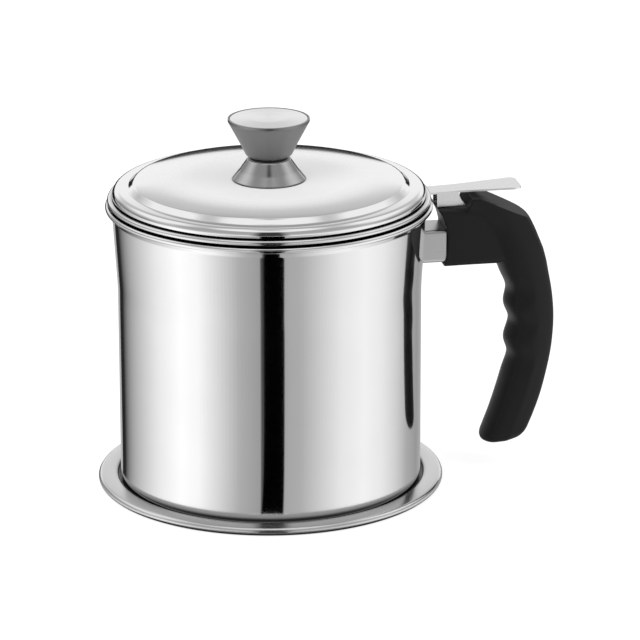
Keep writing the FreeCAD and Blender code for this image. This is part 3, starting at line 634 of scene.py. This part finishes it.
def make_turned_sheets():
    """The pressed sheets: tray, pot, strainer bowl and lid."""
    tray = turned_sheet("turned_tray", TRAY_PATH, TRAY_SHEET, "tray_steel", "tray", "drip_tray")
    tray.visible_glossy = False           # the photographed wall shows no tray
    turned_sheet("turned_pot", POT_PATH, POT_SHEET, "pot_steel", "pot", "pot_shell")
    turned_sheet("turned_bowl", BOWL_PATH, BOWL_SHEET, "strainer_steel", "strainer", "strainer_bowl")
    turned_sheet("turned_lid", LID_PATH, LID_SHEET, "lid_steel", "lid", "lid_shell")


# ---- Handle grip -----------------------------------------------------------------------------
def handle_place(place):
    return Vector((HANDLE_X + place[0], 0.0, HANDLE_Z + place[1]))


def grip_ring(finger, palm, half_width):
    """Control points of one section across the grip: an oval nose and a flatter back."""
    start = handle_place(finger)
    across = handle_place(palm) - start
    depth = across.length
    side = [(GRIP_NOSE * along, half_width * out) for along, out in NOSE_SHAPE]
    side += [(depth - GRIP_BACK * along, half_width * out) for along, out in BACK_SHAPE]
    places = side + [(along, -out) for along, out in side[-2:0:-1]]
    return [start + across * (along / depth) + Vector((0, out, 0)) for along, out in places]


def grip_columns():
    """Lines down the grip, side by side all round it, each a list of points from top to bottom."""
    rows = [grip_ring(finger, palm, GRIP_HALF_WIDTH * share) for finger, palm, share in GRIP_SECTIONS]
    rings = [curve_through(row, RING_STEPS, closed=True) for row in rows]
    return [curve_through([ring[index] for ring in rings], COLUMN_STEPS)
            for index in range(len(rings[0]))]


def ring_at(columns, height, normal, inset):
    """The section where the columns cross a plane above the grip's end, drawn in by an inset."""
    base = handle_place(GRIP_END)
    ring = []
    for column in columns:
        for upper, lower in zip(column, column[1:]):
            above = (upper - base).dot(normal) - height
            below = (lower - base).dot(normal) - height
            if above >= 0 > below:
                ring.append(upper.lerp(lower, above / (above - below)))
                break
    count = len(ring)
    middle = sum(ring, Vector()) / count
    drawn = []
    for index, point in enumerate(ring):
        inward = (ring[(index + 1) % count] - ring[index - 1]).cross(normal).normalized()
        if inward.dot(middle - point) < 0:
            inward.negate()
        drawn.append(point + inward * inset)
    return drawn


def grip_rings():
    """Sections of the grip from top to bottom, drawn in more and more round its lower end."""
    columns = grip_columns()
    normal = Vector((-math.sin(GRIP_END_SLOPE), 0, math.cos(GRIP_END_SLOPE)))
    base = handle_place(GRIP_END)
    free = [row for row in range(len(columns[0]))
            if min((column[row] - base).dot(normal) for column in columns) > GRIP_END_EDGE * END_MARGIN]
    rings = [[column[row] for column in columns] for row in free]
    for step in range(END_STEPS + 1):
        turn = math.radians(90 * step / END_STEPS)
        inset = GRIP_END_EDGE * (1 - math.cos(turn))
        rings.append(ring_at(columns, GRIP_END_EDGE * (1 - math.sin(turn)), normal, inset))
    return rings


def grip_blank():
    """The curved grip with its finger hollows and its rounded lower end."""
    rings = grip_rings()
    count = len(rings[0])
    last = (len(rings) - 1) * count
    faces = []
    for here in range(0, last, count):
        there = here + count
        for n in range(count):
            after = (n + 1) % count
            faces.append((here + n, here + after, there + after, there + n))
    faces.append(tuple(range(count - 1, -1, -1)))
    faces.append(tuple(range(last, last + count)))
    return new_solid("grip_blank", [point for ring in rings for point in ring], faces)


def prism(name, side_view, half_width):
    """A side view in the handle's middle plane, drawn out to both sides."""
    across = [[(HANDLE_X + x, y, HANDLE_Z + z) for x, z in side_view] for y in (-half_width, half_width)]
    return drawn_out(name, *across)


def round_long_edges(work):
    """Bevels the edges that run along X."""
    long_edges = []
    for edge in work.edges:
        first, second = [corner.co for corner in edge.verts]
        if abs(first.y - second.y) < SAME_LINE and abs(first.z - second.z) < SAME_LINE:
            long_edges.append(edge)
    bmesh.ops.bevel(work, geom=long_edges, offset=NECK_EDGE * MILLIMETRE, segments=NECK_EDGE_STEPS,
                    affect="EDGES", profile=0.5)


def handle_neck():
    """The neck between ferrule and grip, with rounded long edges."""
    front = curve_through([Vector(place) for place in NECK_FRONT], NECK_STEPS)
    neck = prism("neck", front + NECK_ROOT, NECK_HALF_WIDTH)
    edit_mesh(neck, round_long_edges)
    return neck


def round_rod(name, radius, start, end):
    """A round rod along the handle's screw."""
    turns = [2 * math.pi * step / ROD_STEPS for step in range(ROD_STEPS)]
    ends = [[(HANDLE_X + x, radius * math.cos(turn), HANDLE_Z + radius * math.sin(turn))
             for turn in turns] for x in (start, end)]
    return drawn_out(name, *ends)


def grip_cutters():
    """What is taken off the grip above: the space over the hump and the neck, and the thumb facet."""
    over = [(CUT_FRONT, NECK_TOP), (HUMP_FRONT[0], NECK_TOP), (HUMP_FRONT[1], GRIP_TOP),
            (CUT_BACK, GRIP_TOP), (CUT_BACK, CUT_TOP), (CUT_FRONT, CUT_TOP)]
    way = (math.cos(FACET_SLOPE) * CUT_TOP, -math.sin(FACET_SLOPE) * CUT_TOP)
    up = (math.sin(FACET_SLOPE) * CUT_TOP, math.cos(FACET_SLOPE) * CUT_TOP)
    crest = FACET_CREST
    facet = [(crest[0] - way[0], crest[1] - way[1]), (crest[0] + way[0], crest[1] + way[1]),
             (crest[0] + way[0] + up[0], crest[1] + way[1] + up[1]),
             (crest[0] - way[0] + up[0], crest[1] - way[1] + up[1])]
    return [prism("over_neck", over, CUT_HALF_WIDTH), prism("facet", facet, CUT_HALF_WIDTH + 1)]


def make_grip():
    """The moulded handle in one piece: grip, neck, hump, thumb facet and screw bore."""
    grip = grip_blank()
    combined(grip, grip_cutters(), "DIFFERENCE")
    combined(grip, [handle_neck()], "UNION")
    half, height = FERRULE_ROOM
    room = [(ROOM_FRONT, -height), (0, -height), (0, height), (ROOM_FRONT, height)]
    bore = round_rod("bore", BORE_RADIUS, BORE_FLOOR, CUT_BACK)
    combined(grip, [prism("ferrule_room", room, half), bore], "DIFFERENCE")
    even = grip.modifiers.new("even", "REMESH")
    even.mode = "VOXEL"
    even.voxel_size = GRIP_VOXEL
    soft = grip.modifiers.new("soft", "SMOOTH")
    soft.factor = GRIP_SMOOTH_FACTOR
    soft.iterations = GRIP_SMOOTH_PASSES
    settle(grip)
    grip.name = "moulded_grip"
    for face in grip.data.polygons:
        face.use_smooth = True
    dressed(grip, "handle_black", "pot", "handle_grip")


# ---- Strainer tab ----------------------------------------------------------------------------
def tab_place(along, across, up):
    """A point of the tab, which rises a little from its root at the strainer's rim."""
    x = TAB_ROOT[0] + along * math.cos(TAB_RISE) - up * math.sin(TAB_RISE)
    z = TAB_ROOT[1] + along * math.sin(TAB_RISE) + up * math.cos(TAB_RISE)
    return Vector((x, across, z))


def tab_outline():
    """Plan of the tab's top: a root that follows the rim, then a widening blade."""
    side = [(TAB_FLANGE_END + along, TAB_HALF_WIDTH + out) for along, out in TAB_WAIST]
    flare = math.atan2(TAB_TIP_HALF_WIDTH - TAB_HALF_WIDTH, TAB_LENGTH - TAB_FLANGE_END)
    centre = (TAB_LENGTH - TAB_TIP_CORNER, TAB_TIP_HALF_WIDTH - TAB_TIP_CORNER)
    sweep = math.pi / 2 + flare
    for step in range(TAB_ARC_STEPS + 1):
        turn = sweep - sweep * step / TAB_ARC_STEPS
        side.append((centre[0] + TAB_TIP_CORNER * math.cos(turn),
                     centre[1] + TAB_TIP_CORNER * math.sin(turn)))
    root = []
    for share in TAB_ROOT_SHARES:
        across = TAB_HALF_WIDTH * share
        root.append((math.sqrt(TAB_ROOT[0] ** 2 - across ** 2) - TAB_ROOT[0] + TAB_ROOT_GAP, across))
    return root + side + [(along, -across) for along, across in side[::-1]]


def flange_view():
    """Side view of a flange, whose far end curves up to the blade."""
    places = [(TAB_FLANGE_START, 0), (TAB_FLANGE_START, -TAB_FLANGE_HEIGHT)]
    for step in range(TAB_ARC_STEPS + 1):
        up = -TAB_FLANGE_HEIGHT + TAB_FLANGE_HEIGHT * step / TAB_ARC_STEPS
        places.append((TAB_FLANGE_END + TAB_SCOOP - math.sqrt(TAB_SCOOP ** 2 - up ** 2), up))
    return places


def slab(name, outline, offset):
    """A flat or upright sheet between an outline and the same outline moved by an offset."""
    return drawn_out(name, outline, [point + offset for point in outline])


def make_tab():
    """The strainer's thumb tab: a blade with two turned-down flanges near the rim."""
    down = tab_place(0, 0, -TAB_SHEET) - tab_place(0, 0, 0)
    tab = slab("thumb_tab", [tab_place(along, across, 0) for along, across in tab_outline()], down)
    flanges = []
    for across in (-TAB_HALF_WIDTH, TAB_HALF_WIDTH - TAB_SHEET):
        outline = [tab_place(along, across, up) for along, up in flange_view()]
        flanges.append(slab("flange", outline, Vector((0, TAB_SHEET, 0))))
    combined(tab, flanges, "UNION")
    edge = tab.modifiers.new("edge", "BEVEL")
    edge.width = TAB_BEVEL
    edge.segments = TAB_BEVEL_STEPS
    edge.limit_method = "ANGLE"
    edge.angle_limit = TAB_CREASE
    settle(tab)
    dressed(tab, "tab_steel", "strainer", "strainer_tab")


# ---- Studio ----------------------------------------------------------------------------------
def white_for_mirrors(tree):
    """1 for the camera's own rays and for what mirrors and glass show, otherwise 0."""
    path = add(tree, "ShaderNodeLightPath").outputs
    seen = maths(tree, "MAXIMUM", path["Is Camera Ray"], path["Is Glossy Ray"])
    return maths(tree, "MAXIMUM", seen, path["Is Transmission Ray"])


def make_floor():
    """A table top whose matt part takes the shadow, with a white glow for the camera and mirrors."""
    half = FLOOR_SIZE / 2
    corners = [(-half, -half, 0), (half, -half, 0), (half, half, 0), (-half, half, 0)]
    floor = new_object("floor", corners, [(0, 1, 2, 3)])
    material = bpy.data.materials.new("white_floor")
    tree = bare_tree(material)
    matt = add(tree, "ShaderNodeBsdfDiffuse", {"Color": grey(FLOOR_COLOUR)})
    strength = maths(tree, "MULTIPLY", white_for_mirrors(tree), FLOOR_GLOW)
    glow = add(tree, "ShaderNodeEmission", {"Strength": strength})
    both = add(tree, "ShaderNodeAddShader", {0: matt.outputs[0], 1: glow.outputs[0]})
    add(tree, "ShaderNodeOutputMaterial", {"Surface": both.outputs[0]})
    floor.data.materials.append(material)


def glowing(name, level):
    """A material with an even glow."""
    material = bpy.data.materials.new(name)
    tree = bare_tree(material)
    glow = add(tree, "ShaderNodeEmission", {"Color": grey(level)})
    add(tree, "ShaderNodeOutputMaterial", {"Surface": glow.outputs[0]})
    return material


def for_mirrors_only(card, material):
    """Gives a card its material, and hides it from all but mirrors."""
    card.data.materials.append(material)
    card.visible_camera = False
    card.visible_diffuse = False
    card.visible_transmission = False
    card.visible_shadow = False


def strip_faces(strips, closed=False):
    """Faces of a band whose corners come in pairs, one pair for each step along it."""
    count = 2 * strips if closed else 2 * strips + 2
    return [tuple(corner % count for corner in (2 * n, 2 * n + 1, 2 * n + 3, 2 * n + 2))
            for n in range(strips)]


def table_glow():
    """The brightness of the table's strips, each by the angle of the wall that it is mirrored in."""
    material = bpy.data.materials.new("table_card")
    tree = bare_tree(material)
    angle = add(tree, "ShaderNodeAttribute", attribute_name="wall_angle").outputs["Fac"]
    peak = max(level for _, level in TABLE_STOPS)
    stops = [((place + 90) / 180, level / peak) for place, level in TABLE_STOPS]
    levels = ramp(tree, share_between(tree, angle, -90.0, 90.0), stops)
    glow = add(tree, "ShaderNodeEmission", {"Color": levels, "Strength": peak})
    add(tree, "ShaderNodeOutputMaterial", {"Surface": glow.outputs[0]})
    return material


def make_table_card():
    """A card on the table that only mirrors see. Its strips run the way the round wall mirrors them."""
    corners = []
    angles = []
    for index in range(TABLE_CARD_STRIPS + 1):
        angle = math.radians(-90 + 180 * index / TABLE_CARD_STRIPS)
        foot = Vector((math.sin(angle), -math.cos(angle))) * POT_RADIUS
        way = Vector((math.sin(2 * angle), -math.cos(2 * angle)))
        for distance in TABLE_CARD_REACH:
            spot = foot + way * distance
            corners.append(turned(spot.x, spot.y, TABLE_CARD_HEIGHT))
            angles.append(math.degrees(angle))
    card = new_object("table_card", corners, strip_faces(TABLE_CARD_STRIPS))
    attribute = card.data.attributes.new("wall_angle", "FLOAT", "POINT")
    for index, angle in enumerate(angles):
        attribute.data[index].value = angle
    for_mirrors_only(card, table_glow())


def make_foot_card():
    """A grey ring under the tray that only the rounded foot of the pot shows."""
    corners = []
    for index in range(FOOT_CARD_STRIPS):
        angle = 2 * math.pi * index / FOOT_CARD_STRIPS
        for radius in FOOT_CARD_RADII:
            corners.append((math.cos(angle) * radius, math.sin(angle) * radius, FOOT_CARD_HEIGHT))
    card = new_object("foot_card", corners, strip_faces(FOOT_CARD_STRIPS, closed=True))
    for_mirrors_only(card, glowing("foot_card", FOOT_CARD_LEVEL))


def make_far_card():
    """A black card on the table behind the pot, which draws the dark line along the lid's far edge."""
    corners = []
    for index in range(FAR_CARD_STRIPS + 1):
        angle = math.radians((2 * index / FAR_CARD_STRIPS - 1) * FAR_CARD_HALF_ANGLE)
        for distance in FAR_CARD_REACH:
            corners.append(turned(math.sin(angle) * distance, math.cos(angle) * distance,
                                  FAR_CARD_HEIGHT))
    card = new_object("far_card", corners, strip_faces(FAR_CARD_STRIPS))
    for_mirrors_only(card, glowing("far_card", FAR_CARD_LEVEL))


def sky_ramp(tree, height, stops):
    """A sky's brightness by height, from stops in degrees."""
    return ramp(tree, height, [(place / 90, level) for place, level in stops])


def studio_sky(tree):
    """What mirrors see above the table: far, side and near sky, and a dark flag beside the camera."""
    way = add(tree, "ShaderNodeTexCoord").outputs["Generated"]
    turned_way = add(tree, "ShaderNodeMapping", {0: way, "Rotation": (0, 0, VIEW_TURN)}).outputs[0]
    split = add(tree, "ShaderNodeSeparateXYZ", {0: turned_way}).outputs
    height = maths(tree, "DIVIDE", maths(tree, "ARCSINE", split[2]), math.pi / 2)
    side = maths(tree, "ARCTAN2", split[0], maths(tree, "MULTIPLY", split[1], -1.0))
    turn = maths(tree, "DIVIDE", maths(tree, "ABSOLUTE", side), math.pi)
    is_far = ramp(tree, turn, [(FAR_EDGES[0], 0.0), (FAR_EDGES[1], 1.0)])
    is_near = ramp(tree, turn, [(NEAR_EDGES[0], 1.0), (NEAR_EDGES[1], 0.0)])
    left, left_full, right_full, right = [(angle + 180) / 360 for angle in FLAG_EDGES]
    is_flag = ramp(tree, share_between(tree, side, -math.pi, math.pi),
                   [(left, 0.0), (left_full, 1.0), (right_full, 1.0), (right, 0.0)])
    sky = mixed(tree, is_far, sky_ramp(tree, height, SIDE_SKY), sky_ramp(tree, height, FAR_SKY))
    sky = mixed(tree, is_near, sky, sky_ramp(tree, height, NEAR_SKY))
    flagged = maths(tree, "MULTIPLY", sky, sky_ramp(tree, height, FLAG_SKY))
    return mixed(tree, is_flag, sky, flagged)


def make_world():
    """White room: plain for the camera and for matt surfaces, with soft boxes and gaps for mirrors."""
    world = bpy.data.worlds.new("studio")
    bpy.context.scene.world = world
    tree = bare_tree(world)
    path = add(tree, "ShaderNodeLightPath").outputs
    plain = mixed(tree, path["Is Camera Ray"], grey(WORLD_DIFFUSE), grey(1))
    room = mixed(tree, path["Is Glossy Ray"], plain, studio_sky(tree))
    background = add(tree, "ShaderNodeBackground", {"Color": room})
    add(tree, "ShaderNodeOutputWorld", {"Surface": background.outputs[0]})


def make_lamp(name, place, power):
    """A square soft lamp that points at the middle of the pot and shows in no mirror."""
    data = bpy.data.lights.new(name, "AREA")
    data.energy = power
    data.size = LAMP_SIZE
    lamp = bpy.data.objects.new(name, data)
    bpy.context.scene.collection.objects.link(lamp)
    lamp.location = turned(*place)
    aim = Vector(LAMP_AIM) - lamp.location
    lamp.rotation_mode = "QUATERNION"
    lamp.rotation_quaternion = aim.to_track_quat("-Z", "Y")
    lamp.visible_glossy = False


def make_camera():
    """The camera, where the photograph was taken from."""
    data = bpy.data.cameras.new("camera")
    data.lens = VIEW_LENS
    data.sensor_width = VIEW_SENSOR
    data.clip_start, data.clip_end = VIEW_CLIP
    camera = bpy.data.objects.new("camera", data)
    bpy.context.scene.collection.objects.link(camera)
    right = turned(1, 0, 0)
    above = turned(0, math.sin(VIEW_DROP), math.cos(VIEW_DROP))
    tilted_right = right * math.cos(VIEW_ROLL) + above * math.sin(VIEW_ROLL)
    tilted_above = above * math.cos(VIEW_ROLL) - right * math.sin(VIEW_ROLL)
    backward = tilted_right.cross(tilted_above)
    axes = Matrix((tilted_right, tilted_above, backward)).transposed().to_4x4()
    camera.matrix_world = Matrix.Translation(turned(*VIEW_PLACE)) @ axes
    bpy.context.scene.camera = camera


dress_nodes()
make_turned_sheets()
make_grip()
make_tab()
make_floor()
make_table_card()
make_foot_card()
make_far_card()
make_world()
for lamp_name, lamp_place, lamp_power in LAMPS:
    make_lamp(lamp_name, lamp_place, lamp_power)
make_camera()
bpy.context.scene.view_settings.view_transform = "Standard"
